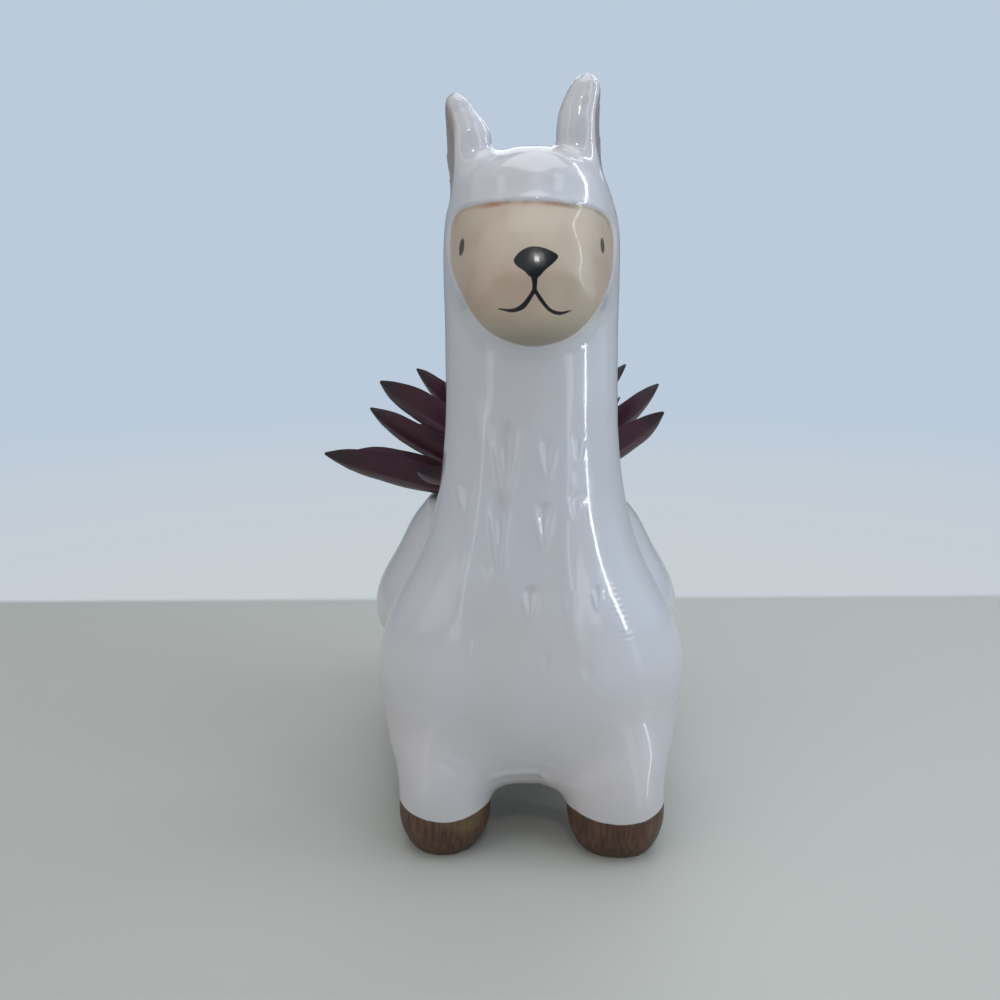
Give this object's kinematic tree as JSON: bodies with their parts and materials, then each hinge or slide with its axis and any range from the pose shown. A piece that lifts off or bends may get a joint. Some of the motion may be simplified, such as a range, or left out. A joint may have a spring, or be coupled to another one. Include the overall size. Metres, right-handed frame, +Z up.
{
  "type": "animal shaped planter",
  "caption": "Glazed ceramic alpaca-shaped plant pot that stands on four hooves, with a planted well in its back, a lift-out succulent and a drain stopper.",
  "frame": {"origin": "centre of the whole part's box seen from above, on the surface that it stands on", "axes": "+Z up, the animal looks along -Y, +X to the right as seen from the front"},
  "size_m": [0.1158, 0.1538, 0.2],
  "materials": {
    "white_glaze": "glossy white glaze, with painted face, ears and hooves",
    "stopper_rubber": "matt",
    "potting_mix": "loose and crumbly",
    "root_ball": "matted roots and mix",
    "stem": "dull skin with leaf scars",
    "leaf_skin": "satin, dark maroon"
  },
  "bodies": {
    "pot": {"planter_body": "white_glaze", "potting_mix": "potting_mix"},
    "plant": {"root_ball": "root_ball", "plant_stem": "stem", "leaf_01": "leaf_skin", "leaf_02": "leaf_skin", "leaf_03": "leaf_skin", "leaf_04": "leaf_skin", "leaf_05": "leaf_skin", "leaf_06": "leaf_skin", "leaf_07": "leaf_skin", "leaf_08": "leaf_skin", "leaf_09": "leaf_skin", "leaf_10": "leaf_skin", "leaf_11": "leaf_skin", "leaf_12": "leaf_skin", "leaf_13": "leaf_skin", "leaf_14": "leaf_skin", "leaf_15": "leaf_skin", "leaf_16": "leaf_skin", "leaf_17": "leaf_skin", "leaf_18": "leaf_skin", "leaf_19": "leaf_skin", "leaf_20": "leaf_skin", "leaf_21": "leaf_skin", "leaf_22": "leaf_skin", "leaf_23": "leaf_skin", "leaf_24": "leaf_skin", "leaf_25": "leaf_skin", "leaf_26": "leaf_skin", "leaf_27": "leaf_skin", "leaf_28": "leaf_skin", "leaf_29": "leaf_skin", "leaf_30": "leaf_skin", "leaf_31": "leaf_skin", "leaf_32": "leaf_skin", "leaf_33": "leaf_skin", "leaf_34": "leaf_skin", "leaf_35": "leaf_skin", "leaf_36": "leaf_skin"},
    "stopper": {"drain_plug": "stopper_rubber"}
  },
  "joints": [
    {"name": "plant_lift", "type": "slide", "parent": "pot", "child": "plant", "axis": [0, 0, 1], "range_m": [0, 0.09]},
    {"name": "stopper_pull", "type": "slide", "parent": "pot", "child": "stopper", "axis": [0, 0, -1], "range_m": [0, 0.007]}
  ]
}
